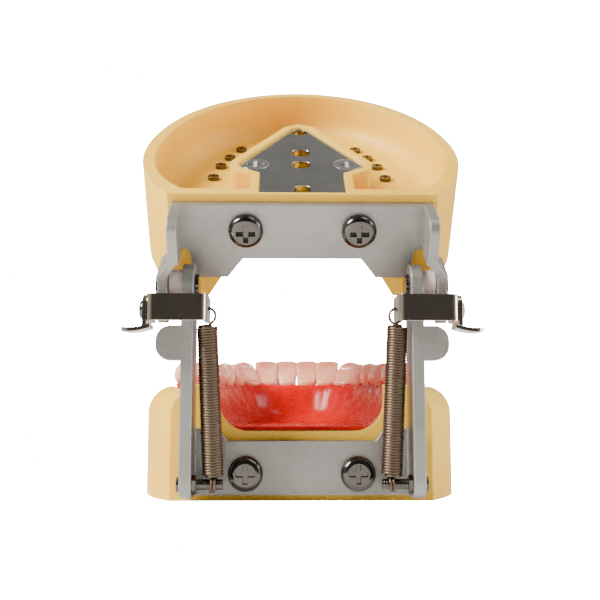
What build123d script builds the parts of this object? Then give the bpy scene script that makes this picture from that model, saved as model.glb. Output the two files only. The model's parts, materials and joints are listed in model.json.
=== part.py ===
from build123d import *
import math
import os

# Dental articulator: two plastic jaw bases with gums and teeth, joined at the back by a bent
# steel hinge frame. Millimetres, +Z up, +X to the right seen from behind, +Y towards the incisors.
# Everything is drawn with the bases' rear faces on y = 0 and the jaws CLOSED; the upper jaw is then
# opened about the hinge, and the whole is centred over the origin.

# ---- driving dimensions ----
OPEN_ANGLE = 37.5                       # how far the jaws stand open at rest
HINGE_Y, HINGE_Z = -6.7, 43.1           # hinge axis, along X
CLIP_Y, CLIP_Z = -8.5, 38.0             # clip pivot with the jaws open, along X
BASE_DEPTH = 66.2
BASE_OUTLINE = [(26.8, 0), (33.2, 13.0), (34.4, 24.0), (33.0, 34.5), (27.4, 49.0), (15.5, 61.5)]
WALL = 2.7
LOWER_TOP = 23.6                        # lower base, underside at z = 0
UPPER_TOP, UPPER_BOTTOM = 60.1, 37.0    # upper base with the jaws closed
LOWER_SHOULDER, UPPER_SHOULDER = 6.0, 3.0   # rounding of each base's gum side
CAVITY_DEPTH = 10.0
TONGUE_HALF_WIDTH, TONGUE_FLOOR = 17.0, 14.0
PALATE_HALF_WIDTH, PALATE_MOUTH, PALATE_ROOF = 13.8, 20.0, 46.0
GUM_REAR, GUM_SHEET, GUM_RISE = 3.2, 1.2, 0.8
LOWER_GUM_OUT, LOWER_GUM_IN = (29.4, 62.0), (14.6, 46.6)   # (half width, front y) of the gum ridges
UPPER_GUM_OUT, UPPER_GUM_IN = (30.0, 62.8), (14.0, 47.0)

SHEET = 2.3                             # lower frame plate
UPPER_SHEET = 1.9
ARM_IN = 21.4                           # inner face of a lower arm
ARM_REAR, ARM_FRONT, ARM_ROUND = -11.0, -2.4, 4.3
LOWER_PLATE = (1.4, 12.1)
UPPER_PLATE = (42.4, 58.5)
FLANGE_IN, PRONG_IN = 24.1, 26.5        # inner faces of the upper frame's side flanges and prongs
FLANGE_REAR = -10.5
LUG_OUT, LUG_Z = 28.6, (27.9, 34.7)

SCREW_X, LOWER_SCREW_Z, UPPER_SCREW_Z = 11.3, 5.6, 53.2
SCREW_HEAD_R, SCREW_HEAD_H, SCREW_R, SCREW_LENGTH = 3.5, 2.1, 1.9, 6.0
INSERT_R, INSERT_LENGTH = 2.7, 4.6

PIN_R, PIN_GAP = 1.5, 0.05              # hinge pin and its running clearance
CLIP_PIN_R = 1.1
STRAP = 0.8                             # clip and lever strip
CLIP_IN, CLIP_OUT = 18.4, 30.1          # outer faces of the clip's two ears
CLIP_HALF = 2.6                         # half height of the clip
WEB_REAR, EAR_FRONT = -14.4, -5.9
HOOK_HOLE_R = 0.75                      # spring hook's hole in the clip's inner ear
LEVER_TIP = 34.6

SPRING_R, WIRE_R = 2.1, 0.28
SPRING_TOP, SPRING_BOTTOM = (18.8, 34.6), (17.3, 5.4)
STUD_Z, STUD_R, STUD_IN = 4.1, 1.0, 15.4

PLATE_T, PLATE_RECESS = 1.6, 0.5        # steel mounting plates
POST_HOLES, POST_R = (17.0, 24.0), 2.1
TIP_HOLE_Y, TIP_HOLE_R = 37.3, 1.8
PLATE_SCREW = (9.9, 17.2)

# Tooth table: name, crown width, crown depth, and each arch's place (x, y, turn about Z)
TEETH = [
    ("central_incisor", 5.3, 5.8, (2.75, 56.0, 3), 8.2, 6.8, (4.2, 59.0, 6)),
    ("lateral_incisor", 5.6, 6.0, (8.1, 54.6, 14), 6.4, 6.0, (11.3, 56.4, 22)),
    ("canine", 6.4, 7.0, (13.4, 50.9, 38), 7.2, 7.4, (17.2, 52.0, 44)),
    ("first_premolar", 6.6, 7.2, (17.4, 45.4, 62), 6.6, 8.4, (19.9, 45.0, 62)),
    ("second_premolar", 6.8, 7.8, (19.9, 38.8, 74), 6.4, 8.6, (22.4, 38.6, 76)),
    ("first_molar", 10.4, 9.6, (22.1, 30.0, 80), 9.8, 10.2, (24.0, 30.2, 84)),
    ("second_molar", 9.8, 9.4, (23.6, 19.6, 84), 9.2, 10.0, (24.6, 20.4, 88)),
]
LOWER_TIPS = [31.0, 30.9, 30.6, 30.1, 29.7, 29.3, 29.2]   # cusp heights, front to back
UPPER_TIPS = [28.6, 29.2, 29.8, 30.5, 30.1, 29.7, 29.6]
LOWER_NECK, UPPER_NECK = 24.0, 37.4
FRONT_TEETH = ("central_incisor", "lateral_incisor", "canine")
ROOT_R = 1.9

parts = {}


def keep(name, shape):
    """Remember a finished sub-part under its node name."""
    parts[name] = shape


def tube_x(x0, x1, y, z, r):
    """Solid round bar along X."""
    return Pos((x0 + x1) / 2, y, z) * Rot(0, 90, 0) * Cylinder(r, abs(x1 - x0))


def block(x0, x1, y0, y1, z0, z1):
    """Box from its corner values."""
    return Pos((x0 + x1) / 2, (y0 + y1) / 2, (z0 + z1) / 2) * Box(abs(x1 - x0), abs(y1 - y0), abs(z1 - z0))


def d_outline(inset=0.0):
    """Plan outline of a base, straight at the back and arched round the front, or one drawn inside it."""
    half = BASE_OUTLINE + [(0, BASE_DEPTH)]
    course = []
    for i, (x, y) in enumerate(half):
        before, after = half[max(i - 1, 0)], half[min(i + 1, len(half) - 1)]
        dx, dy = after[0] - before[0], after[1] - before[1]
        if i == len(half) - 1:
            dx, dy = -1, 0
        size = math.hypot(dx, dy)
        course.append((x - inset * dy / size, y + inset * dx / size))
    if inset:
        course[0] = (BASE_OUTLINE[0][0] - inset, inset)
    arch = Spline(*course, *[(-x, y) for x, y in reversed(course[:-1])])
    return make_face(Curve() + [arch, Line(arch @ 1, arch @ 0)])


def side_plate(points, radii, x0, x1):
    """Flat plate in the YZ plane between x0 and x1, with rounded outline corners."""
    outline = FilletPolyline(*points, radius=radii, close=True) if radii else Polyline(*points, close=True)
    face = Plane.YZ * make_face(outline)
    return Pos(x0, 0, 0) * extrude(face, amount=x1 - x0, dir=(1, 0, 0))


def closed_pivot():
    """Where the clip pivot sits on the upper frame when that frame is drawn closed."""
    y, z = CLIP_Y - HINGE_Y, CLIP_Z - HINGE_Z
    turn = math.radians(-OPEN_ANGLE)
    return (HINGE_Y + y * math.cos(turn) - z * math.sin(turn),
            HINGE_Z + y * math.sin(turn) + z * math.cos(turn))


def both_sides(shape):
    """Names and copies of a right-hand shape for both sides."""
    return (("right", shape), ("left", mirror(shape, about=Plane.YZ)))


# ---- the two bases ----
def arrow_outline(grow=0.0):
    """House-shaped mounting plate: point forward, shoulders, narrower neck at the back."""
    half = [(8.8, 0.9), (8.8, 11.2), (12.9, 14.3), (13.6, 16.6), (2.2, 38.6)]
    points = half + [(0, 39.9)] + [(-x, y) for x, y in reversed(half)]
    outline = make_face(Polyline(*points, close=True))
    outline = fillet(outline.vertices().filter_by(lambda v: 11.5 < v.Y < 39), 1.5)
    return offset(outline, grow, kind=Kind.ARC) if grow else outline


def base(face_z, gum_z, openings, screw_z, shoulder):
    """Open shell: hollow on the face_z side, rounded shoulder on the gum_z side."""
    out = 1 if face_z > gum_z else -1
    outline = d_outline()
    low, high = min(face_z, gum_z), max(face_z, gum_z)
    solid = extrude(Pos(0, 0, low) * outline, amount=high - low)
    gum_edges = solid.edges().group_by(Axis.Z)[0 if out > 0 else -1].filter_by(
        lambda e: e.center().Y > 1)
    solid = fillet(gum_edges, shoulder)
    inner = d_outline(WALL)
    cavity = extrude(Pos(0, 0, face_z) * inner, amount=-out * CAVITY_DEPTH)
    cavity = fillet(cavity.edges().group_by(Axis.Z)[0 if out > 0 else -1], 4.5)
    boss = extrude(Pos(0, 0, face_z) * arrow_outline(1.7), amount=-out * (CAVITY_DEPTH + 1))
    boss &= block(-40, 40, 0.1, 80, low - 1, high + 1)
    solid = solid - (cavity - boss - insert_pads(screw_z))
    pocket = extrude(Pos(0, 0, face_z) * arrow_outline(), amount=-out * (PLATE_RECESS + PLATE_T))
    solid -= pocket
    for opening in openings:
        solid -= opening
    return solid


def arch_face(half, front):
    """Horseshoe outline that follows the dental arch, from its half width and its front."""
    right = [(half - 5.0, GUM_REAR - 1), (half - 0.8, GUM_REAR + 8), (half, GUM_REAR + 18),
             (half * 0.76, front - 10.5)]
    curve = Spline(*right, (0, front), *[(-x, y) for x, y in reversed(right)])
    return make_face(Curve() + [curve, Line(curve @ 1, curve @ 0)])


def arch_block(z0, z1, outer, inner=None):
    """Solid over the dental arch, or with an inner outline the ridge between the two."""
    face = arch_face(*outer) - arch_face(*inner) if inner else arch_face(*outer)
    return extrude(Pos(0, 0, z0) * face, amount=z1 - z0) & block(-50, 50, GUM_REAR, 90, z0 - 1, z1 + 1)


def crown(width, depth, neck_z, tip_z, place, root_out, front_tooth):
    """One tooth: tapering crown over a round root that stands in its socket."""
    x, y, turn = place
    up = 1 if tip_z > neck_z else -1
    height = abs(tip_z - neck_z)
    tip_depth = depth * (0.28 if front_tooth else 0.72)
    tip_width = width * (0.94 if front_tooth else 0.82)
    neck = RectangleRounded(width * 0.74, depth * 0.72, min(width, depth) * 0.3)
    waist = RectangleRounded(width * 0.97, depth * (0.62 if front_tooth else 0.97), min(width, depth) * 0.27)
    tip = RectangleRounded(tip_width, tip_depth, min(tip_width, tip_depth) * 0.3)
    levels = (0, height * 0.55, height)
    shape = loft([Pos(0, 0, z) * f for z, f in zip(levels, (neck, waist, tip))])
    shape += Pos(0, 0, 0.1 - root_out / 2) * Cylinder(ROOT_R, root_out + 0.2)
    if up < 0:
        shape = Rot(180, 0, 0) * shape
    return Pos(x, y, neck_z) * Rot(0, 0, -turn) * shape


def build_teeth(jaw, neck_z, tips, seat_z):
    """Teeth of one jaw; each root stands on the floor of the gum's seat."""
    teeth = {}
    for (name, lw, ld, lplace, uw, ud, uplace), tip in zip(TEETH, tips):
        w, d, place = (lw, ld, lplace) if jaw == "lower" else (uw, ud, uplace)
        tooth = crown(w, d, neck_z, tip, place, abs(seat_z - neck_z), name in FRONT_TEETH)
        for side, shape in both_sides(tooth):
            teeth[f"{jaw}_{side}_{name}"] = shape
    return teeth


def tooth_screws(face_z, out):
    """Small screws on the cavity floor that hold the teeth from inside."""
    floor = face_z - out * CAVITY_DEPTH
    group = []
    for x, y in ((14.4, 50.0), (17.0, 44.4), (18.9, 38.8), (20.2, 31.6)):
        head = Pos(x, y, floor + out * 0.35) * Cylinder(1.35, 0.9)
        slot = Pos(x, y, floor + out * 0.75) * (Box(2.2, 0.4, 0.5) + Box(0.4, 2.2, 0.5))
        screw = head - slot + Pos(x, y, floor - out * 1.2) * Cylinder(0.7, 2.4)
        group += [screw, mirror(screw, about=Plane.YZ)]
    return group


def mounting_plate(face_z, out):
    """Steel plate with its holes and the notch at the back."""
    top = face_z - out * PLATE_RECESS
    plate = extrude(Pos(0, 0, top) * offset(arrow_outline(), -0.05), amount=-out * PLATE_T)
    mid = top - out * PLATE_T / 2
    for y in POST_HOLES:
        plate -= Pos(0, y, mid) * Cylinder(POST_R, PLATE_T + 1)
    plate -= Pos(0, TIP_HOLE_Y, mid) * Cylinder(TIP_HOLE_R, PLATE_T + 1)
    notch = Pos(0, 4.0, mid) * Cylinder(1.7, PLATE_T + 1) + Pos(0, 2.0, mid) * Box(3.4, 4.0, PLATE_T + 1)
    plate -= notch
    for side in (-1, 1):
        plate -= plate_screw(side * PLATE_SCREW[0], top, out, 0.0)
    return plate


def plate_screw(x, top, out, slot=0.5):
    """Countersunk cross-head screw that holds a mounting plate to its boss."""
    head = Cone(1.7, 3.0, 1.4)
    shank = Pos(0, 0, -3.4) * Cylinder(1.7, 5.6)
    screw = head + shank
    if slot:
        screw -= Pos(0, 0, 0.5) * (Box(3.4, 0.7, 0.9) + Box(0.7, 3.4, 0.9))
    if out < 0:
        screw = Rot(180, 0, 0) * screw
    return Pos(x, PLATE_SCREW[1], top - out * 0.7) * screw


def post_clearance(face_z, out):
    """Room in the boss behind the plate's holes."""
    depth = 6.0
    mid = face_z - out * (PLATE_RECESS + PLATE_T + depth / 2)
    room = Pos(0, TIP_HOLE_Y, mid) * Cylinder(TIP_HOLE_R + 0.4, depth)
    for y in POST_HOLES:
        room += Pos(0, y, mid) * Cylinder(POST_R + 0.4, depth)
    for side in (-1, 1):
        room += plate_screw(side * PLATE_SCREW[0], face_z - out * PLATE_RECESS, out, 0.0)
    return room


def pan_screw(x, face_y, z):
    """Pan-head cross screw through a frame plate; its head faces backwards."""
    head = Pos(0, 0, SCREW_HEAD_H / 2) * Cylinder(SCREW_HEAD_R, SCREW_HEAD_H)
    head = fillet(head.edges().group_by(Axis.Z)[-1], 1.4)
    cross = Pos(0, 0, SCREW_HEAD_H - 0.5) * (Box(3.8, 1.0, 1.4) + Box(1.0, 3.8, 1.4))
    screw = head - cross + Pos(0, 0, -SCREW_LENGTH / 2) * Cylinder(SCREW_R, SCREW_LENGTH)
    return Pos(x, face_y, z) * Rot(90, 0, 0) * screw


def screw_hole(x, face_y, z):
    """Solid that clears a frame screw's shank."""
    shank = Cylinder(SCREW_R, 2 * SCREW_LENGTH)
    return Pos(x, face_y, z) * Rot(90, 0, 0) * shank & block(-40, 40, face_y - 1, face_y + SCREW_LENGTH, -5, 70)


def frame_hardware(jaw, face_y, z):
    """Screws and the threaded inserts they enter; returns the pocket for the inserts."""
    keep(f"{jaw}_frame_screws", Compound([pan_screw(x, face_y, z) for x in (-SCREW_X, SCREW_X)]))
    bores, sleeves = None, []
    for x in (-SCREW_X, SCREW_X):
        sleeve = Pos(x, INSERT_LENGTH / 2, z) * Rot(90, 0, 0) * Cylinder(INSERT_R, INSERT_LENGTH)
        bores = sleeve if bores is None else bores + sleeve
        sleeves.append(sleeve - screw_hole(x, face_y, z))
    keep(f"{jaw}_frame_inserts", Compound(sleeves))
    return bores


def insert_pads(z):
    """Thickening of a base's rear wall around the frame screws' inserts."""
    pad = block(SCREW_X - 4.4, SCREW_X + 4.4, 1.0, INSERT_LENGTH + 2.0, z - 4.6, z + 4.6)
    return pad + mirror(pad, about=Plane.YZ)


# ---- frames ----
def lower_frame():
    """Plate across the back, two arms bent rearwards and up, and a finger rest on each arm."""
    z0, z1 = LOWER_PLATE
    out = ARM_IN + SHEET
    plate = block(-out, out, -SHEET, 0, z0, z1)
    slope = Polyline((14.9, z1 - 0.1), (out, z1 - 0.1), (out, 14.6), (16.8, 14.6), close=True)
    gusset = extrude(Plane.XZ * make_face(slope), amount=SHEET)
    arm_top = HINGE_Z + ARM_ROUND
    arm = side_plate([(-SHEET / 2, z0), (ARM_REAR, z0), (ARM_REAR, arm_top), (ARM_FRONT, arm_top),
                      (ARM_FRONT, 16.4), (-SHEET / 2, 14.6)],
                     [0.2, 3.5, ARM_ROUND - 0.05, ARM_ROUND - 0.05, 1.5, 0.2], ARM_IN, out)
    lug = block(ARM_IN + 0.5, LUG_OUT, ARM_REAR, ARM_REAR + SHEET, *LUG_Z)
    lug = fillet(lug.edges().filter_by(Axis.Y).group_by(Axis.X)[-1], 2.9)
    half = gusset + arm + lug
    body = plate + half + mirror(half, about=Plane.YZ)
    for side in (-1, 1):
        body -= tube_x(side * (ARM_IN - 1), side * (out + 1), HINGE_Y, HINGE_Z, PIN_R)
        body -= tube_x(side * (ARM_IN - 1), side * (out + 1), CLIP_Y, STUD_Z, STUD_R)
        body -= screw_hole(side * SCREW_X, -SHEET, LOWER_SCREW_Z)
    return body


def upper_frame():
    """Plate with side flanges that jog outwards into the two hinge prongs."""
    z0, z1 = UPPER_PLATE
    out = FLANGE_IN + UPPER_SHEET
    prong_out = PRONG_IN + UPPER_SHEET
    half = [(12.0, 46.7), (15.2, z0), (22.0, z0), (22.8, 48.6), (out, 49.6), (out, z1)]
    outline = make_face(Polyline(*half, *[(-x, z) for x, z in reversed(half)], close=True))
    body = extrude(Plane.XZ * outline, amount=UPPER_SHEET)
    flange = side_plate([(-UPPER_SHEET / 2, 49.6), (FLANGE_REAR, 49.6), (FLANGE_REAR, z1), (-UPPER_SHEET / 2, z1)],
                        [0.2, 0.2, 3.0, 0.2], FLANGE_IN, out)
    jog_outline = Polyline((FLANGE_IN, 50.4), (out, 50.4), (prong_out, 46.9), (PRONG_IN, 46.9), close=True)
    jog = Pos(0, ARM_FRONT - 0.2, 0) * extrude(Plane.XZ * make_face(jog_outline),
                                               amount=ARM_FRONT - 0.2 - FLANGE_REAR)
    clip_y, clip_z = closed_pivot()
    hinge_eye = Pos(HINGE_Y, HINGE_Z) * Circle(ARM_ROUND - 0.1)
    clip_eye = Pos(clip_y, clip_z) * Circle(2.6)
    root = Pos((FLANGE_REAR + ARM_FRONT - 0.2) / 2, 47.2) * Rectangle(ARM_FRONT - 0.2 - FLANGE_REAR, 0.6)
    eyes = make_hull(hinge_eye.edges() + clip_eye.edges())
    neck = make_hull(hinge_eye.edges() + root.edges())
    prong = extrude(Plane.YZ * (eyes + neck), amount=UPPER_SHEET, dir=(1, 0, 0))
    prong = Pos(PRONG_IN, 0, 0) * prong
    prong -= tube_x(PRONG_IN - 1, prong_out + 1, HINGE_Y, HINGE_Z, PIN_R + PIN_GAP)
    prong -= tube_x(PRONG_IN - 1, prong_out + 1, clip_y, clip_z, CLIP_PIN_R)
    side = flange + jog + prong
    body += side + mirror(side, about=Plane.YZ)
    for x in (-SCREW_X, SCREW_X):
        body -= screw_hole(x, -UPPER_SHEET, UPPER_SCREW_Z)
    return body


# ---- hinge pins, clips, levers and springs, drawn with the jaws open ----
def hinge_pin():
    """Shouldered pin, pressed into the lower arm, on which the prong turns."""
    outer = PRONG_IN + UPPER_SHEET
    return (tube_x(ARM_IN - 0.8, outer + 0.4, HINGE_Y, HINGE_Z, PIN_R)
            + tube_x(ARM_IN - 0.8, ARM_IN, HINGE_Y, HINGE_Z, 2.3)
            + tube_x(outer + 0.06, outer + 0.7, HINGE_Y, HINGE_Z, 2.3))


def hinge_spacer():
    """Washer that fills most of the gap between arm and prong."""
    x0, x1 = ARM_IN + SHEET, PRONG_IN - 0.15
    return tube_x(x0, x1, HINGE_Y, HINGE_Z, 3.2) - tube_x(x0 - 1, x1 + 1, HINGE_Y, HINGE_Z, PIN_R)


def clip():
    """Strap bent into a U behind the arm and prong, with an ear at each end."""
    z0, z1 = CLIP_Z - CLIP_HALF, CLIP_Z + CLIP_HALF
    strap = block(CLIP_IN, CLIP_OUT, WEB_REAR, EAR_FRONT, z0, z1)
    strap = fillet(strap.edges().filter_by(Axis.Z).group_by(Axis.Y)[0], 1.5)
    strap -= block(CLIP_IN + STRAP, CLIP_OUT - STRAP, WEB_REAR + STRAP, EAR_FRONT + 1, z0 - 1, z1 + 1)
    ear_ends = strap.edges().filter_by(Axis.X).group_by(Axis.Y)[-1]
    strap = fillet(ear_ends, 1.4)
    strap -= tube_x(CLIP_OUT - 2, CLIP_OUT + 1, CLIP_Y, CLIP_Z, CLIP_PIN_R + PIN_GAP)
    return strap - tube_x(CLIP_IN - 1, CLIP_IN + 2, CLIP_Y, CLIP_Z, HOOK_HOLE_R)


def thumb_lever():
    """Strip beside the clip's outer ear, bent outwards below it into a thumb tab."""
    leg = block(CLIP_OUT, CLIP_OUT + STRAP, -13.4, -6.4, 34.1, CLIP_Z + CLIP_HALF)
    leg = fillet(leg.edges().filter_by(Axis.X).group_by(Axis.Z)[-1], 2.0)
    course = [(28.9, 34.2), (30.8, 33.7), (32.9, 33.5), (LEVER_TIP, 33.7)]
    upper = Spline(*[(x, z + STRAP / 2) for x, z in course])
    lower = Spline(*[(x, z - STRAP / 2) for x, z in course])
    section = make_face(Curve() + [upper, Line(upper @ 1, lower @ 1), lower, Line(lower @ 0, upper @ 0)])
    tab = Pos(0, -11.6, 0) * extrude(Plane.XZ * section, amount=4.8)
    tab &= Pos(28, -14.0, 30) * extrude(RectangleRounded(2 * (LEVER_TIP - 28), 4.8, 2.0), amount=8)
    return leg + tab - tube_x(CLIP_OUT - 1, CLIP_OUT + 2, CLIP_Y, CLIP_Z, CLIP_PIN_R + PIN_GAP)


def clip_pin():
    """Pin with a domed head, pressed into the prong; clip and lever turn on it."""
    head_x = CLIP_OUT + STRAP + 0.06
    dome = Pos(head_x, CLIP_Y, CLIP_Z) * Rot(0, 90, 0) * Cylinder(2.0, 1.2, align=(Align.CENTER, Align.CENTER,
                                                                                   Align.MIN))
    dome = fillet(dome.edges().group_by(Axis.X)[-1], 1.0)
    return dome + tube_x(PRONG_IN, head_x + 0.2, CLIP_Y, CLIP_Z, CLIP_PIN_R)


def spring():
    """Close-wound extension spring as a tube, with a hook in the clip and a loop on the stud."""
    (top_x, top_z), (low_x, low_z) = SPRING_TOP, SPRING_BOTTOM
    top, low = Vector(top_x, CLIP_Y, top_z), Vector(low_x, CLIP_Y, low_z)
    plane = Plane(origin=low, z_dir=top - low)
    length = (top - low).length
    coil = extrude(plane * Circle(SPRING_R), amount=length)
    bore = extrude(plane.offset(WIRE_R * 2) * Circle(SPRING_R - 2 * WIRE_R), amount=length - 4 * WIRE_R)
    hook_r = (CLIP_Z - top_z) / 2
    hook = Pos(top_x, CLIP_Y, CLIP_Z - hook_r) * Rot(90, 0, 0) * Torus(hook_r, WIRE_R)
    loop = Pos(low_x, CLIP_Y, STUD_Z) * Rot(0, 90, 0) * Torus(STUD_R + WIRE_R + 0.07, WIRE_R)
    return coil - bore + hook + loop


def spring_stud():
    """Threaded stud riveted through the lower arm, with a nut against the arm."""
    out = ARM_IN + SHEET
    nut = Pos(ARM_IN - 0.9, CLIP_Y, STUD_Z) * Rot(0, 90, 0) * extrude(RegularPolygon(1.8, 6), amount=0.9)
    return (tube_x(STUD_IN, out + 0.3, CLIP_Y, STUD_Z, STUD_R) + nut
            + tube_x(out, out + 0.6, CLIP_Y, STUD_Z, 1.5))


# ---- lower jaw ----
tongue_space = block(-TONGUE_HALF_WIDTH, TONGUE_HALF_WIDTH, -1, GUM_REAR, TONGUE_FLOOR, 40)
tongue_space = fillet(tongue_space.edges().filter_by(Axis.Y).group_by(Axis.Z)[0], 6.0)
lower_seat = arch_block(TONGUE_FLOOR, 40, LOWER_GUM_OUT)
lower_base = base(0, LOWER_TOP, (tongue_space, lower_seat), LOWER_SCREW_Z, LOWER_SHOULDER)
lower_teeth = build_teeth("lower", LOWER_NECK, LOWER_TIPS, TONGUE_FLOOR)
lower_gum = arch_block(TONGUE_FLOOR, LOWER_NECK + GUM_RISE, LOWER_GUM_OUT, LOWER_GUM_IN)
lower_gum += lower_seat & block(-50, 50, GUM_REAR, 90, TONGUE_FLOOR, TONGUE_FLOOR + GUM_SHEET)

# ---- upper jaw, closed ----
palate_face = make_face(Polyline((-PALATE_MOUTH, 36), (-PALATE_HALF_WIDTH, PALATE_ROOF),
                                 (PALATE_HALF_WIDTH, PALATE_ROOF), (PALATE_MOUTH, 36), close=True))
palate_space = Pos(0, GUM_REAR, 0) * extrude(Plane.XZ * palate_face, amount=GUM_REAR + 1)
palate_space = fillet(palate_space.edges().filter_by(Axis.Y).group_by(Axis.Z)[-1], 4.0)
upper_seat = arch_block(25, PALATE_ROOF, UPPER_GUM_OUT)
upper_base = base(UPPER_TOP, UPPER_BOTTOM, (palate_space, upper_seat), UPPER_SCREW_Z, UPPER_SHOULDER)
upper_teeth = build_teeth("upper", UPPER_NECK, UPPER_TIPS, PALATE_ROOF)
upper_gum = arch_block(UPPER_NECK - GUM_RISE, PALATE_ROOF, UPPER_GUM_OUT, UPPER_GUM_IN)
upper_gum += upper_seat & block(-50, 50, GUM_REAR, 90, PALATE_ROOF - GUM_SHEET, PALATE_ROOF)

for jaw, face_z, out in (("lower", 0, -1), ("upper", UPPER_TOP, 1)):
    shell = lower_base if jaw == "lower" else upper_base
    gum = lower_gum if jaw == "lower" else upper_gum
    teeth = lower_teeth if jaw == "lower" else upper_teeth
    rear_sheet = SHEET if jaw == "lower" else UPPER_SHEET
    screw_z = LOWER_SCREW_Z if jaw == "lower" else UPPER_SCREW_Z
    for name, tooth in teeth.items():
        gum -= tooth
        keep(name, tooth)
    shell -= frame_hardware(jaw, -rear_sheet, screw_z)
    for x in (-SCREW_X, SCREW_X):
        shell -= screw_hole(x, -rear_sheet, screw_z)
    for screw in tooth_screws(face_z, out):
        shell -= screw
    plate_screws = [plate_screw(side * PLATE_SCREW[0], face_z - out * PLATE_RECESS, out) for side in (-1, 1)]
    keep(f"{jaw}_base", shell - post_clearance(face_z, out))
    keep(f"{jaw}_gingiva", gum)
    keep(f"{jaw}_tooth_screws", Compound(tooth_screws(face_z, out)))
    keep(f"{jaw}_mounting_plate", mounting_plate(face_z, out))
    keep(f"{jaw}_mounting_screws", Compound(plate_screws))

keep("lower_frame", lower_frame())
keep("upper_frame", upper_frame())
hinge_axis = Axis((0, HINGE_Y, HINGE_Z), (1, 0, 0))
for name in [n for n in parts if n.startswith("upper_")]:
    parts[name] = parts[name].rotate(hinge_axis, OPEN_ANGLE)

for name, shape in (("hinge_pin", hinge_pin()), ("hinge_spacer", hinge_spacer()), ("clip", clip()),
                    ("thumb_lever", thumb_lever()), ("clip_pin", clip_pin()), ("spring", spring()),
                    ("spring_stud", spring_stud())):
    for side, piece in both_sides(shape):
        keep(f"{side}_{name}", piece)

# ---- centre the assembly over the origin and write it ----
whole = Compound(list(parts.values())).bounding_box()
shift = Pos(0, -whole.center().Y, 0)
os.makedirs("parts", exist_ok=True)
for name, shape in parts.items():
    export_step(shift * shape, f"parts/{name}.step")
print(f"rear faces at y = {-whole.center().Y:.3f}, size {whole.size.X:.1f} x {whole.size.Y:.1f} x {whole.size.Z:.1f}")
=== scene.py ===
import json
import math

import bmesh
import bpy
from mathutils import Euler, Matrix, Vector

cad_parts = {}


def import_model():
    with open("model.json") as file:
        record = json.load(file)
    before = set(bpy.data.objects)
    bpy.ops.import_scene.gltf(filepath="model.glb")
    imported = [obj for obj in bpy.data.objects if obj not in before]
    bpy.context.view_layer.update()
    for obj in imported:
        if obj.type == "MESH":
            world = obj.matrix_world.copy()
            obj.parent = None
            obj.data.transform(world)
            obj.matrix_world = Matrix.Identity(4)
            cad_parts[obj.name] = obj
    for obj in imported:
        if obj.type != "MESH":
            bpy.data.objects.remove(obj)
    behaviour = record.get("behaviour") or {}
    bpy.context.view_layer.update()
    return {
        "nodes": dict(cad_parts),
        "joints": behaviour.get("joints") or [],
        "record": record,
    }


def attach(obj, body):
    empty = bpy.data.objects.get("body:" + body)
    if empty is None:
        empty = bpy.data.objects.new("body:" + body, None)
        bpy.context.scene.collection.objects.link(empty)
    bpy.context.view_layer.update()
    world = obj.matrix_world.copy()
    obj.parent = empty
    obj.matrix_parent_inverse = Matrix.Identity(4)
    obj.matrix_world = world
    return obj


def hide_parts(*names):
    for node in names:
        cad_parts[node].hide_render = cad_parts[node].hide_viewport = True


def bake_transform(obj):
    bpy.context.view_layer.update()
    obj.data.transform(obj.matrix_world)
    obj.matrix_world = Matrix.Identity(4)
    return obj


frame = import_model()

nodes = frame["nodes"]
MM = 0.001

# ---- places, in millimetres from the bases' rear faces with the jaws closed, as in the CAD ----
OPEN_ANGLE = 37.5
HINGE_Y, HINGE_Z = -6.7, 43.1
CLIP_Y, CLIP_Z = -8.5, 38.0
STUD_Z, STUD_R, STUD_IN, ARM_IN = 4.1, 1.0, 15.4, 21.4
SPRING_R, WIRE_R = 2.1, 0.28
SPRING_TOP, SPRING_BOTTOM = (18.8, 35.2), (17.3, 5.4)
LOWER_NECK, UPPER_NECK = 24.0, 37.4
TONGUE_FLOOR, PALATE_ROOF, GUM_REAR = 14.0, 46.0, 3.2
TEETH = [   # name, lower width, depth, place and turn, then the same for the upper tooth
    ("central_incisor", 5.3, 5.8, (2.75, 56.0, 3), 8.2, 6.8, (4.2, 59.0, 6)),
    ("lateral_incisor", 5.6, 6.0, (8.1, 54.6, 14), 6.4, 6.0, (11.3, 56.4, 22)),
    ("canine", 6.4, 7.0, (13.4, 50.9, 38), 7.2, 7.4, (17.2, 52.0, 44)),
    ("first_premolar", 6.6, 7.2, (17.4, 45.4, 62), 6.6, 8.4, (19.9, 45.0, 62)),
    ("second_premolar", 6.8, 7.8, (19.9, 38.8, 74), 6.4, 8.6, (22.4, 38.6, 76)),
    ("first_molar", 10.4, 9.6, (22.1, 30.0, 80), 9.8, 10.2, (24.0, 30.2, 84)),
    ("second_molar", 9.8, 9.4, (23.6, 19.6, 84), 9.2, 10.0, (24.6, 20.4, 88)),
]
LOWER_TIPS = [31.0, 30.9, 30.6, 30.1, 29.7, 29.3, 29.2]
UPPER_TIPS = [28.6, 29.2, 29.8, 30.5, 30.1, 29.7, 29.6]

# ---- how the looks are built; lengths in millimetres ----
CAMERA_WHITE = 40.0     # strength of the floor and the world to the camera's own rays
NOISE_ROUGHNESS = 0.55
RING = 40               # points round a crown
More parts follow.
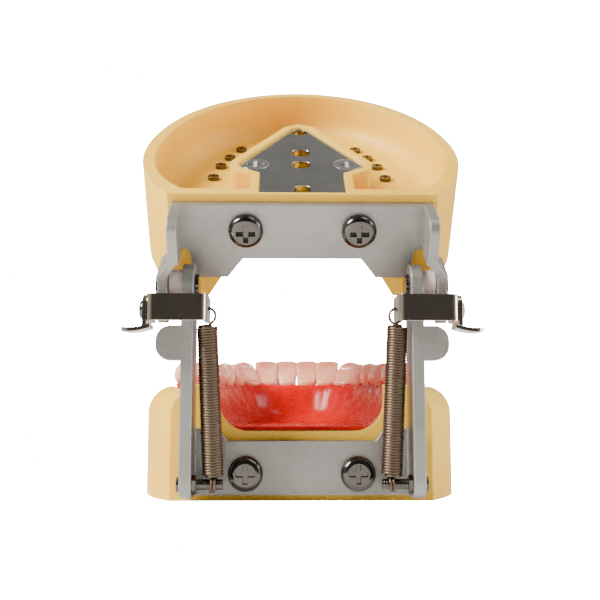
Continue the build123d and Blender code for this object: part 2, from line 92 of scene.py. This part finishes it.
# heights of a crown's rings, as parts of its height; those below 0 are inside the gum
TOOTH_LEVELS = (-0.5, -0.25, 0.0, 0.08, 0.18, 0.3, 0.42, 0.54, 0.66, 0.77, 0.86, 0.93, 0.97, 1.0)
CAP_LEVELS = (0.86, 0.7, 0.52, 0.34, 0.16)      # rings that close the tip, as parts of its last ring
FRONT_POWER, BACK_POWER = 2.8, 2.7              # how square a crown's section is
FRONT_SWELL, CANINE_SWELL = 1.07, 1.15          # a front crown's width over the table's
ARCH_SAMPLES, ARCH_RESOLUTION = 220, 16
ARCH_MIDDLE = Vector((0, 26, 0))                # a point inside the arch, in millimetres
SHEET_STEPS = 8                                 # in the floor or palate, from the ridge to the middle line
SHEET_CENTRE_Y = 38.0                           # how far forward that middle line goes
GUM_THICKNESS = 0.7
SPRING_TURNS, STEPS_PER_TURN = 56, 20
STUD_LOOPS, STUD_LOOP_PITCH = 2, 0.62
COIL_RISE, COIL_END_GAP = 0.1, 0.2              # room left below and above the coil
HOOK_ARC = 0.86                                 # part of a full turn that the top hook makes
THREAD_PITCH, THREAD_R = 0.5, 0.11
FLOOR_REACH = 3.0                               # metres

hinge = next(j for j in frame["joints"] if j["name"] == "jaw_hinge")["pos_m"]
REAR_Y = hinge[1] - HINGE_Y * MM        # the bases' rear faces in the frame


def place(x, y, z):
    """Frame position, in metres, of a point given in millimetres."""
    return Vector((x * MM, y * MM + REAR_Y, z * MM))


def opened(x, y, z):
    """The same for a point of the upper jaw, which is given closed and stands open."""
    turn = math.radians(OPEN_ANGLE)
    dy, dz = y - HINGE_Y, z - HINGE_Z
    return place(x, HINGE_Y + dy * math.cos(turn) - dz * math.sin(turn),
                 HINGE_Z + dy * math.sin(turn) + dz * math.cos(turn))


def smooth_step(t):
    """Smooth rise from 0 to 1 as t goes from 0 to 1."""
    t = min(max(t, 0.0), 1.0)
    return t * t * (3 - 2 * t)


# ---- materials ----
class Shade:
    """A principled material with a few helpers that add noise, bump, and edge wear mixed with a painted
    highlight to it.
    """

    def __init__(self, name, color, roughness, metallic=0.0, **sockets):
        self.mat = bpy.data.materials.new(name)
        self.mat.use_nodes = True
        self.tree = self.mat.node_tree
        self.shader = self.tree.nodes["Principled BSDF"]
        self.set("Base Color", (*color, 1))
        self.set("Roughness", roughness)
        self.set("Metallic", metallic)
        for key, value in sockets.items():
            self.set(key.replace("_", " "), value)
        self.coords = self.node("ShaderNodeTexCoord").outputs["Object"]
        self.height = None

    def set(self, socket, value):
        self.shader.inputs[socket].default_value = value

    def node(self, kind, **values):
        made = self.tree.nodes.new(kind)
        for key, value in values.items():
            setattr(made, key, value)
        return made

    def link(self, a, b):
        self.tree.links.new(a, b)

    def noise(self, scale, detail=4.0, stretch=(1, 1, 1)):
        """Noise in the object's own coordinates, stretched along the axes."""
        mapping = self.node("ShaderNodeMapping")
        mapping.inputs["Scale"].default_value = stretch
        self.link(self.coords, mapping.inputs["Vector"])
        made = self.node("ShaderNodeTexNoise")
        made.inputs["Scale"].default_value = scale
        made.inputs["Detail"].default_value = detail
        made.inputs["Roughness"].default_value = NOISE_ROUGHNESS
        self.link(mapping.outputs["Vector"], made.inputs["Vector"])
        return made.outputs["Fac"]

    def ramp(self, fac, stops):
        """Colour ramp with a colour at each place from 0 to 1."""
        made = self.node("ShaderNodeValToRGB")
        ramp = made.color_ramp
        while len(ramp.elements) < len(stops):
            ramp.elements.new(0.5)
        for element, (at, color) in zip(ramp.elements, stops):
            element.position = at
            element.color = (*color, 1)
        self.link(fac, made.inputs["Fac"])
        return made.outputs["Color"]

    def vary_color(self, fac, stops):
        self.link(self.ramp(fac, stops), self.shader.inputs["Base Color"])

    def vary_roughness(self, fac, low, high):
        made = self.node("ShaderNodeMapRange")
        made.inputs["To Min"].default_value = low
        made.inputs["To Max"].default_value = high
        self.link(fac, made.inputs["Value"])
        self.link(made.outputs["Result"], self.shader.inputs["Roughness"])

    def wear_and_highlight_edges(self, radius, color):
        """Round the look of sharp edges and lighten them to another colour, partly as wear and partly as a
        painted highlight; called after vary_color.
        """
        bevel = self.node("ShaderNodeBevel", samples=4)
        bevel.inputs["Radius"].default_value = radius * MM
        dot = self.node("ShaderNodeVectorMath", operation="DOT_PRODUCT")
        self.link(bevel.outputs["Normal"], dot.inputs[0])
        self.link(self.node("ShaderNodeNewGeometry").outputs["Normal"], dot.inputs[1])
        mask = self.node("ShaderNodeMapRange")
        for key, value in (("From Min", 0.8), ("From Max", 0.99), ("To Min", 0.8), ("To Max", 0.0)):
            mask.inputs[key].default_value = value
        self.link(dot.outputs["Value"], mask.inputs["Value"])
        # the lighter edge colour is partly wear and partly a painted highlight where edges catch light
        mix = self.node("ShaderNodeMixRGB")
        base = self.shader.inputs["Base Color"].links[0].from_socket
        self.link(mask.outputs["Result"], mix.inputs["Fac"])
        self.link(base, mix.inputs["Color1"])
        mix.inputs["Color2"].default_value = (*color, 1)
        self.link(mix.outputs["Color"], self.shader.inputs["Base Color"])
        self.height = bevel.outputs["Normal"]

    def bump(self, fac, distance, strength):
        """Bump of a height in millimetres, over any bump or bevel that came before."""
        made = self.node("ShaderNodeBump")
        made.inputs["Strength"].default_value = strength
        made.inputs["Distance"].default_value = distance * MM
        self.link(fac, made.inputs["Height"])
        if self.height:
            self.link(self.height, made.inputs["Normal"])
        self.height = made.outputs["Normal"]
        self.link(self.height, self.shader.inputs["Normal"])


def ivory():
    shade = Shade("ivory_resin", (0.85, 0.54, 0.06), 0.45, Subsurface_Weight=0.08, Subsurface_Scale=0.003,
                  Specular_IOR_Level=0.3)
    shade.set("Subsurface Radius", (1.0, 0.6, 0.25))
    shade.vary_color(shade.noise(28, detail=3), [(0.3, (0.78, 0.41, 0.022)), (0.7, (0.90, 0.56, 0.05))])
    # lighter edges: partly wear, partly painted highlight
    shade.wear_and_highlight_edges(0.4, (0.92, 0.66, 0.16))
    shade.vary_roughness(shade.noise(160), low=0.38, high=0.56)
    shade.bump(shade.noise(95, detail=2), distance=0.5, strength=0.35)
    shade.bump(shade.noise(1400, detail=5), distance=0.05, strength=0.3)
    return shade.mat


def gum():
    shade = Shade("gum_resin", (0.82, 0.02, 0.012), 0.2, Subsurface_Weight=0.5, Subsurface_Scale=0.004,
                  Coat_Weight=0.06, Coat_Roughness=0.1, Specular_IOR_Level=0.18)
    shade.set("Subsurface Radius", (1.0, 0.12, 0.08))
    shade.vary_color(shade.noise(55, detail=3), [(0.3, (0.50, 0.0, 0.0)), (0.75, (0.72, 0.004, 0.002))])
    shade.vary_roughness(shade.noise(240), low=0.18, high=0.34)
    shade.bump(shade.noise(110, detail=2), distance=0.3, strength=0.25)
    return shade.mat


def enamel():
    shade = Shade("tooth_resin", (0.88, 0.77, 0.68), 0.22, Subsurface_Weight=0.45, Subsurface_Scale=0.0025,
                  Coat_Weight=0.4, Coat_Roughness=0.12, IOR=1.5)
    shade.set("Subsurface Radius", (1.0, 0.55, 0.4))
    shade.vary_color(shade.noise(120, detail=3), [(0.3, (0.92, 0.40, 0.24)), (0.7, (0.96, 0.60, 0.42))])
    shade.vary_roughness(shade.noise(400), low=0.16, high=0.3)
    shade.bump(shade.noise(700, detail=3), distance=0.12, strength=0.25)
    return shade.mat


def sheet_steel():
    shade = Shade("frame_steel", (0.36, 0.355, 0.33), 0.42, 0.7)
    shade.vary_color(shade.noise(60, detail=5), [(0.3, (0.25, 0.243, 0.22)), (0.7, (0.34, 0.33, 0.30))])
    # lighter edges: partly wear, partly painted highlight
    shade.wear_and_highlight_edges(0.35, (0.62, 0.62, 0.58))
    shade.vary_roughness(shade.noise(300, detail=6, stretch=(1, 1, 6)), low=0.34, high=0.52)
    shade.bump(shade.noise(900, detail=6, stretch=(1, 1, 8)), distance=0.03, strength=0.5)
    return shade.mat


def plate_steel():
    shade = Shade("plate_steel", (0.30, 0.30, 0.31), 0.16, 1.0)
    shade.vary_color(shade.noise(90, detail=4), [(0.3, (0.46, 0.46, 0.44)), (0.7, (0.60, 0.60, 0.57))])
    # lighter edges: partly wear, partly painted highlight
    shade.wear_and_highlight_edges(0.2, (0.85, 0.85, 0.83))
    shade.vary_roughness(shade.noise(500, detail=6, stretch=(6, 1, 1)), low=0.1, high=0.26)
    shade.bump(shade.noise(1200, detail=5, stretch=(8, 1, 1)), distance=0.015, strength=0.5)
    return shade.mat


def bright_metal(name, color, rough):
    low = tuple(c * 0.9 for c in color)
    shade = Shade(name, color, rough, 1.0)
    shade.vary_color(shade.noise(150, detail=4), [(0.3, low), (0.7, color)])
    # lighter edges: partly wear, partly painted highlight
    shade.wear_and_highlight_edges(0.15, tuple(min(c * 1.5, 0.9) for c in color))
    shade.vary_roughness(shade.noise(600, detail=5), low=rough * 0.6, high=rough * 1.5)
    shade.bump(shade.noise(900, detail=4), distance=0.02, strength=0.4)
    return shade.mat


def washer_plastic():
    shade = Shade("spacer_plastic", (0.70, 0.58, 0.55), 0.5)
    shade.vary_color(shade.noise(200), [(0.3, (0.62, 0.5, 0.47)), (0.7, (0.74, 0.63, 0.6))])
    shade.bump(shade.noise(900), distance=0.05, strength=0.3)
    return shade.mat


FINISH = {
    "ivory_resin": ivory(), "gum_resin": gum(), "tooth_resin": enamel(), "frame_steel": sheet_steel(),
    "plate_steel": plate_steel(), "chrome_hardware": bright_metal("chrome_hardware", (0.82, 0.82, 0.83), 0.1),
    "clip_chrome": bright_metal("clip_chrome", (0.66, 0.56, 0.44), 0.09),
    "spring_steel": bright_metal("spring_steel", (0.14, 0.10, 0.068), 0.36),
    "nickel_hardware": bright_metal("nickel_hardware", (0.11, 0.10, 0.09), 0.16),
    "brass_insert": bright_metal("brass_insert", (0.78, 0.58, 0.28), 0.25),
    "spacer_plastic": washer_plastic(),
}
SLOT_OF = {part["node"]: part["material_slot"] for part in frame["record"]["subparts"]}
for name, obj in nodes.items():
    obj.data.materials.clear()
    obj.data.materials.append(FINISH[SLOT_OF[name]])


# ---- mesh helpers ----
def mesh_object(name, verts, faces, slot, subdivide=0):
    """New smooth-shaded piece from points in metres, with outward faces."""
    data = bpy.data.meshes.new(name)
    data.from_pydata([tuple(v) for v in verts], [], faces)
    mesh = bmesh.new()
    mesh.from_mesh(data)
    bmesh.ops.remove_doubles(mesh, verts=mesh.verts, dist=1e-7)
    bmesh.ops.recalc_face_normals(mesh, faces=mesh.faces)
    mesh.to_mesh(data)
    mesh.free()
    for face in data.polygons:
        face.use_smooth = True
    data.materials.append(FINISH[slot])
    obj = bpy.data.objects.new(name, data)
    bpy.context.scene.collection.objects.link(obj)
    if subdivide:
        levels = obj.modifiers.new("Subdivision", "SUBSURF")
        levels.levels = levels.render_levels = subdivide
    return obj


def grid_faces(rows, columns, closed=True):
    """Quads of a grid of rows by columns; a closed grid wraps round along the columns."""
    last = columns if closed else columns - 1
    return [(r * columns + c, r * columns + (c + 1) % columns,
             (r + 1) * columns + (c + 1) % columns, (r + 1) * columns + c)
            for r in range(rows - 1) for c in range(last)]


# ---- teeth ----
def ring_point(angle, half_x, half_y, power):
    """Point of a superellipse."""
    c, s = math.cos(angle), math.sin(angle)
    return (half_x * math.copysign(abs(c) ** (2 / power), c),
            half_y * math.copysign(abs(s) ** (2 / power), s))


def front_section(t, width, depth, canine):
    """Half width, half depth and labial shift of an incisor or canine at height t, from neck to edge."""
    wide = 0.45 + 0.05 * smooth_step(t / 0.6) - (0.05 * smooth_step((t - 0.72) / 0.28) if canine else 0)
    cingulum = 0.1 * math.exp(-((t - 0.16) / 0.14) ** 2)
    thick = 0.40 + cingulum - 0.29 * smooth_step((t - 0.12) / 0.85)
    shift = 0.5 * depth * (0.40 - thick) * 0.55 + 0.16 * depth * t
    return width * wide, depth * thick, shift


def back_section(t, width, depth):
    """The same for a premolar or molar: bulging sides that close in over the cusps."""
    bulge = 0.41 + 0.09 * math.sin(math.pi * min(t / 0.9, 1.0) ** 0.8) - 0.05 * smooth_step((t - 0.7) / 0.3)
    return width * bulge, depth * (bulge + 0.02), 0.0


def cusp_height(u, v, cusps):
    """Height, from 0 to 1, of the chewing surface at (u, v), each from -1 to 1.

    The surface is made of cusps with grooves between them.
    """
    best = 0.0
    for cx, cy, tall in cusps:
        away = math.hypot((u - cx) * 1.15, v - cy)
        best = max(best, tall * (1 - 0.72 * away))
    return max(best, 0.12)


CUSPS = {    # place across and along the crown, and height
    "premolar": [(0, 0.52, 1.0), (0, -0.52, 0.72)],
    "molar": [(-0.5, 0.52, 0.98), (0.48, 0.52, 1.0), (-0.48, -0.5, 0.86), (0.5, -0.5, 0.84)],
}


def tooth_points(name, width, depth, height):
    """Rings of a tooth from inside the gum up to its tip, as (x, y, z) with z from the neck."""
    rings = []
    canine = name == "canine"
    front = canine or "incisor" in name
    swell = CANINE_SWELL if canine else FRONT_SWELL
    power = FRONT_POWER if front else BACK_POWER
    cusps = CUSPS["premolar" if "premolar" in name else "molar"]    # used by the back teeth only
    for t in TOOTH_LEVELS:
        if front:
            half_x, half_y, shift = front_section(max(t, 0), width * swell, depth, canine)
        else:
            half_x, half_y, shift = back_section(max(t, 0), width, depth)
        shrink = 1 - 0.25 * min(max(-t, 0) / 0.5, 1)    # the neck inside the gum
        ring = []
        for k in range(RING):
            x, y = ring_point(2 * math.pi * k / RING, half_x * shrink, half_y * shrink, power)
            u = x / max(half_x, 1e-6)
            z = t * height
            if front and t > 0.5:
                drop = (0.6 * abs(u) ** 1.3 if canine else 0.16 * u * u + 0.1 * abs(u) ** 6) * (t - 0.5) * 2
                z -= drop * (1.6 if canine else 1.0)
                if not canine:
                    z += 0.06 * math.cos(3 * math.pi * u) * smooth_step((t - 0.9) / 0.1)
            if front and y < 0:
                y += 0.16 * depth * math.exp(-((t - 0.66) / 0.22) ** 2) * (1 - u * u)
            if not front and t > 0.55:
                edge = cusp_height(x / half_x * 0.86, y / half_y * 0.86, cusps)
                z = min(z, height * (0.55 + 0.45 * (t - 0.55) / 0.45 * (0.62 + 0.38 * edge)))
            if not front and t > 0.05:
                lobes = 1 - 0.035 * math.cos(4 * math.atan2(y, x)) * smooth_step(t * 2)
                x, y = x * lobes, y * lobes
            ring.append((x, y + shift, z))
        rings.append(ring)
    top = rings[-1]
    cx = sum(p[0] for p in top) / RING
    cy = sum(p[1] for p in top) / RING
    for level in CAP_LEVELS:
        ring = []
        for x, y, z in top:
            px, py = cx + (x - cx) * level, cy + (y - cy) * level
            if front:
                pz = z + 0.1 * (1 - level * level)
            else:
                tall = cusp_height(px / (width / 2), py / (depth / 2), cusps)
                pz = height * (0.55 + 0.45 * (0.52 + 0.5 * tall))
            ring.append((px, py, pz))
        rings.append(ring)
    return rings


def tooth(jaw, side, name, width, depth, spot, tip):
    """One tooth as a subdivided mesh that replaces its plain CAD crown."""
    neck = LOWER_NECK if jaw == "lower" else UPPER_NECK
    height = abs(tip - neck)
    rings = tooth_points(name, width, depth, height)
    x0, y0, turn = spot
    turn = math.radians(-turn)
    flip = 1 if side == "right" else -1
    put = place if jaw == "lower" else opened
    up = 1 if jaw == "lower" else -1
    verts = []
    for ring in rings:
        for x, y, z in ring:
            rx = x * math.cos(turn) - y * math.sin(turn)
            ry = x * math.sin(turn) + y * math.cos(turn)
            verts.append(put(flip * (x0 + rx), y0 + ry, neck + up * z))
    faces = grid_faces(len(rings), RING)
    faces.append(tuple(range(RING)))
    faces.append(tuple((len(rings) - 1) * RING + k for k in range(RING)))
    node = f"{jaw}_{side}_{name}"
    obj = mesh_object(f"{node}_crown", verts, faces, "tooth_resin", 1)
    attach(obj, f"{jaw}_jaw")
    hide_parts(node)


for (name, lw, ld, lspot, uw, ud, uspot), low_tip, up_tip in zip(TEETH, LOWER_TIPS, UPPER_TIPS):
    for side in ("left", "right"):
        tooth("lower", side, name, lw, ld, lspot, low_tip)
        tooth("upper", side, name, uw, ud, uspot, up_tip)


# ---- gums ----
def crown_in(jaw, row):
    """Width and place (x, y) of one jaw's crown in a row of TEETH."""
    width, spot = (row[1], row[3]) if jaw == "lower" else (row[4], row[6])
    return width, spot[0], spot[1]


def arch_line(jaw):
    """Centre line of the teeth from the left rear round to the right rear, sampled evenly."""
    right = [crown_in(jaw, row)[1:] for row in reversed(TEETH)]
    rear_x = right[0][0] + 0.4
    points = [(rear_x, GUM_REAR)] + right
    whole = [(-x, y) for x, y in points] + [(x, y) for x, y in reversed(points)]
    curve = bpy.data.curves.new("arch", "CURVE")
    curve.dimensions = "3D"
    line = curve.splines.new("NURBS")
    line.points.add(len(whole) - 1)
    for point, (x, y) in zip(line.points, whole):
        point.co = (x, y, 0, 1)
    line.order_u = 4
    line.use_endpoint_u = True
    line.resolution_u = ARCH_RESOLUTION
    obj = bpy.data.objects.new("arch", curve)
    mesh = bpy.data.meshes.new_from_object(obj)
    path = [v.co.copy() for v in mesh.vertices]
    bpy.data.objects.remove(obj)
    bpy.data.meshes.remove(mesh)
    bpy.data.curves.remove(curve)
    lengths = [0.0]
    for a, b in zip(path, path[1:]):
        lengths.append(lengths[-1] + (b - a).length)
    even, j = [], 0
    for i in range(ARCH_SAMPLES):
        want = lengths[-1] * i / (ARCH_SAMPLES - 1)
        while j < len(path) - 2 and lengths[j + 1] < want:
            j += 1
        span = max(lengths[j + 1] - lengths[j], 1e-9)
        even.append(path[j].lerp(path[j + 1], (want - lengths[j]) / span))
    return even


def tooth_phase(jaw, point):
    """0 at the middle of the nearest tooth and 1 halfway to the next."""
    nearest = 1.0
    for row in TEETH:
        width, x, y = crown_in(jaw, row)
        for sign in (-1, 1):
            away = math.hypot(point.x - sign * x, point.y - y) / (width * 0.5)
            nearest = min(nearest, away)
    return nearest


def gum_piece(jaw):
    """Ridge round the teeth's necks, scalloped and rippled by the roots, with a floor or palate sheet."""
    line = arch_line(jaw)
    lower = jaw == "lower"
    neck, seat = (LOWER_NECK, TONGUE_FLOOR) if lower else (UPPER_NECK, PALATE_ROOF)
    up = 1 if lower else -1
    deep = abs(neck - seat)
    # (offset from the arch, outwards positive; height from the neck; how far it follows the scallops)
    profile = [(5.6, -deep * 0.98, 0), (5.7, -deep * 0.6, 0), (5.6, -2.6, 0.1), (5.2, -1.2, 0.3),
               (4.4, 0.0, 0.6), (3.4, 0.8, 1.0), (2.2, 1.0, 1.0), (0.6, 0.5, 0.6), (-0.8, 0.5, 0.6),
               (-2.3, 1.0, 1.0),
               (-3.3, 0.6, 1.0), (-4.0, -0.6, 0.7), (-4.7, -2.4, 0.4), (-5.5, -4.6, 0.25), (-6.5, -6.8, 0.1),
               (-7.9, -8.2, 0.0), (-9.8, -deep + 0.85, 0)]
    if not lower:
        profile[11:] = [(-4.6, -0.4, 0.7), (-6.0, -1.8, 0.4), (-7.4, -3.6, 0.2), (-8.7, -5.4, 0.1),
                        (-9.9, -7.0, 0), (-11.2, -8.2, 0)]
    count = len(line)
    sections = []
    for i, point in enumerate(line):
        tangent = (line[min(i + 1, count - 1)] - line[max(i - 1, 0)]).normalized()
        out = Vector((-tangent.y, tangent.x, 0))
        if out.dot(point - ARCH_MIDDLE) < 0:
            out = -out
        phase = sum(tooth_phase(jaw, line[min(max(i + d, 0), count - 1)]) for d in range(-3, 4)) / 7
        papilla = smooth_step((phase - 0.55) / 0.45)
        ripple = 1 - smooth_step(phase)
        ends = smooth_step((point.y - GUM_REAR) / 26.0)
        room = 0.8 + 4.9 * smooth_step((point.y - GUM_REAR) / 12)
        pad = 1.9 * (1 - smooth_step((point.y - GUM_REAR) / 10))
        section = []
        for offset, height, follow in profile:
            wave = (0.9 * papilla - 0.45) * follow
            push = 0.45 * ripple * math.exp(-((height + 2.4) / 2.6) ** 2) * (1 if offset > 0 else -1)
            reach = offset + push
            if offset > 2.5:
                reach = min(reach, room, 2.0 + 3.6 * ends if height > -1.5 else reach)
            spot = point + out * reach
            z = neck + up * (height + wave - pad * smooth_step((height + 6) / 6))
            section.append((spot.x, max(spot.y, GUM_REAR), z))
        sections.append(section)
    # the sheet runs from the inner foot of the ridge to the middle line
    put = place if lower else opened
    verts = []
    columns = len(profile) + SHEET_STEPS
    for section in sections:
        row = [put(*p) for p in section]
        foot = section[-1]
        centre_y = min(max(foot[1] * 0.86, GUM_REAR), SHEET_CENTRE_Y)
        for k in range(1, SHEET_STEPS + 1):
            t = k / SHEET_STEPS
            x = foot[0] * (1 - t)
            y = foot[1] + (centre_y - foot[1]) * t
            ridge = 0.5 * math.exp(-(x / 1.6) ** 2) * smooth_step((y - 8) / 10)
            if lower:
                z = foot[2] + ridge
            else:
                z = min(foot[2] + 0.6 * math.sin(math.pi * t / 2), PALATE_ROOF - 0.3) - ridge * 0.8
            row.append(put(x, y, z))
        verts += row
    faces = grid_faces(count, columns, closed=False)
    obj = mesh_object(f"{jaw}_gum_tissue", verts, faces, "gum_resin", 1)
    thick = obj.modifiers.new("Thickness", "SOLIDIFY")
    thick.thickness = GUM_THICKNESS * MM
    thick.offset = -1
    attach(obj, f"{jaw}_jaw")
    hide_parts(f"{jaw}_gingiva")


gum_piece("lower")
gum_piece("upper")


# ---- springs and studs ----
def tube(name, path, radius, slot, sides):
    """Round wire along a list of points in metres, with parallel-carried rings and closed ends."""
    verts = []
    tangent = (path[1] - path[0]).normalized()
    normal = tangent.orthogonal().normalized()
    for i, point in enumerate(path):
        new = (path[min(i + 1, len(path) - 1)] - path[max(i - 1, 0)]).normalized()
        normal = (normal - new * normal.dot(new)).normalized()
        side = new.cross(normal)
        for k in range(sides):
            angle = 2 * math.pi * k / sides
            verts.append(point + (normal * math.cos(angle) + side * math.sin(angle)) * radius)
    faces = grid_faces(len(path), sides)
    faces.append(tuple(range(sides)))
    faces.append(tuple((len(path) - 1) * sides + k for k in range(sides)))
    return mesh_object(name, verts, faces, slot)


def spring(side):
    """Close-wound helix with a hook through the clip's ear above and two loops on the stud below."""
    flip = 1 if side == "right" else -1
    (top_x, top_z), (low_x, low_z) = SPRING_TOP, SPRING_BOTTOM
    top, low = Vector((flip * top_x, CLIP_Y, top_z)), Vector((flip * low_x, CLIP_Y, low_z))
    axis = (top - low).normalized()
    across = axis.orthogonal().normalized()
    other = axis.cross(across)
    length = (top - low).length
    coil_r = SPRING_R - WIRE_R
    path = []
    ring_r = STUD_R + WIRE_R + 0.07         # loops lie just clear of the stud
    for k in range(STUD_LOOPS * STEPS_PER_TURN):
        angle = -math.pi / 2 + 2 * math.pi * k / STEPS_PER_TURN
        shift = flip * (k / STEPS_PER_TURN - 1) * STUD_LOOP_PITCH
        path.append(Vector((low.x + shift, CLIP_Y - ring_r * math.sin(angle),
                            STUD_Z + ring_r * math.cos(angle))))
    steps = SPRING_TURNS * STEPS_PER_TURN
    for k in range(steps + 1):
        t = k / steps
        angle = 2 * math.pi * k / STEPS_PER_TURN
        grow = smooth_step(min(t, 1 - t) * SPRING_TURNS / 0.8)      # the end turns draw in
        r = coil_r * (0.35 + 0.65 * grow)
        along = COIL_RISE + (length - COIL_RISE - COIL_END_GAP) * t
        path.append(low + axis * along + (across * math.cos(angle) + other * math.sin(angle)) * r)
    hook_r = (CLIP_Z + 0.4 - top_z) / 2
    for k in range(1, int(STEPS_PER_TURN * HOOK_ARC)):
        angle = -math.pi / 2 + 2 * math.pi * k / STEPS_PER_TURN
        path.append(Vector((top.x - flip * hook_r * math.cos(angle), CLIP_Y,
                            top_z + hook_r + hook_r * math.sin(angle))))
    placed = [place(*p) for p in path]
    obj = tube(f"{side}_spring_coil", placed, WIRE_R * MM, "spring_steel", 8)
    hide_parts(f"{side}_spring")
    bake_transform(obj)


def stud_thread(side):
    """Rolled thread wound along the spring stud's free length."""
    flip = 1 if side == "right" else -1
    count = int((ARM_IN - 1.0 - STUD_IN) / THREAD_PITCH * STEPS_PER_TURN)
    winding_r = STUD_R - 0.02       # the thread's centre line lies just inside the stud's surface
    path = []
    for k in range(count):
        angle = 2 * math.pi * k / STEPS_PER_TURN
        x = flip * (STUD_IN + 0.2 + k / STEPS_PER_TURN * THREAD_PITCH)
        path.append(place(x, CLIP_Y + winding_r * math.cos(angle), STUD_Z + winding_r * math.sin(angle)))
    obj = tube(f"{side}_stud_thread", path, THREAD_R * MM, "nickel_hardware", 6)
    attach(obj, "lower_jaw")


for side in ("left", "right"):
    spring(side)
    stud_thread(side)


# ---- stage, light and camera ----
def area(name, spot, aim, size, power, color=(1, 1, 1)):
    """Rectangular light at a spot, in metres, turned towards its aim; power in watts."""
    light = bpy.data.lights.new(name, "AREA")
    light.shape = "RECTANGLE"
    light.size, light.size_y = size
    light.energy = power
    light.color = color
    obj = bpy.data.objects.new(name, light)
    bpy.context.scene.collection.objects.link(obj)
    obj.location = spot
    obj.rotation_euler = (Vector(aim) - Vector(spot)).to_track_quat("-Z", "Y").to_euler()


def floor():
    """Paper floor that glows plain white to the camera's own rays."""
    data = bpy.data.meshes.new("floor")
    corners = [(x * FLOOR_REACH, y * FLOOR_REACH, 0) for x, y in ((-1, -1), (1, -1), (1, 1), (-1, 1))]
    data.from_pydata(corners, [], [(0, 1, 2, 3)])
    obj = bpy.data.objects.new("floor", data)
    bpy.context.scene.collection.objects.link(obj)
    shade = Shade("floor_paper", (0.93, 0.93, 0.93), 0.9)
    shade.set("Emission Color", (1, 1, 1, 1))
    glow = shade.node("ShaderNodeMapRange")
    glow.inputs["To Min"].default_value = 0.1
    glow.inputs["To Max"].default_value = CAMERA_WHITE
    shade.link(shade.node("ShaderNodeLightPath").outputs["Is Camera Ray"], glow.inputs["Value"])
    shade.link(glow.outputs["Result"], shade.shader.inputs["Emission Strength"])
    data.materials.append(shade.mat)


def world():
    """Light round the sides and behind the object, dark overhead and behind the camera, for the steel.

    The camera's own rays see plain white in every direction.
    """
    studio = bpy.data.worlds.new("studio")
    bpy.context.scene.world = studio
    studio.use_nodes = True
    tree = studio.node_tree

    def node(kind, **inputs):
        made = tree.nodes.new(kind)
        for key, value in inputs.items():
            made.inputs[key.replace("_", " ")].default_value = value
        return made

    split = node("ShaderNodeSeparateXYZ")
    tree.links.new(node("ShaderNodeTexCoord").outputs["Generated"], split.inputs["Vector"])
    overhead = node("ShaderNodeMapRange", From_Min=0.35, From_Max=0.8, To_Min=0.62, To_Max=0.27)
    behind = node("ShaderNodeMapRange", From_Min=-0.9, From_Max=-0.25, To_Min=0.12, To_Max=1.0)
    tree.links.new(split.outputs["Z"], overhead.inputs["Value"])
    tree.links.new(split.outputs["Y"], behind.inputs["Value"])
    both = node("ShaderNodeMath")
    both.operation = "MULTIPLY"
    tree.links.new(overhead.outputs["Result"], both.inputs[0])
    tree.links.new(behind.outputs["Result"], both.inputs[1])
    strength = node("ShaderNodeMapRange", To_Max=CAMERA_WHITE)
    tree.links.new(node("ShaderNodeLightPath").outputs["Is Camera Ray"], strength.inputs["Value"])
    tree.links.new(both.outputs["Value"], strength.inputs["To Min"])
    back = tree.nodes["Background"]
    back.inputs["Color"].default_value = (1.0, 0.985, 0.96, 1)
    tree.links.new(strength.outputs["Result"], back.inputs["Strength"])


def camera():
    """The photo's view, from behind the object and a little to its left, looking slightly up."""
    data = bpy.data.cameras.new("camera")
    data.sensor_width = 36
    data.lens = 50.832              # this, the place and the turn were fitted to the photo
    data.clip_start = 0.01
    obj = bpy.data.objects.new("camera", data)
    bpy.context.scene.collection.objects.link(obj)
    obj.location = place(-4.11, -175.4, 19.9)
    obj.rotation_euler = Euler((math.radians(96.87), 0, math.radians(-1.24)), "XYZ")
    bpy.context.scene.camera = obj


floor()
world()
area("key", (-0.45, -0.2, 0.42), (0, 0, 0.06), size=(0.25, 0.25), power=10.5, color=(1, 0.98, 0.95))
area("side", (0.6, -0.05, 0.2), (0, 0, 0.05), size=(0.35, 0.35), power=3.5)
area("top", (0.3, -0.12, 0.6), (0, 0, 0.06), size=(0.3, 0.3), power=1.5)
camera()
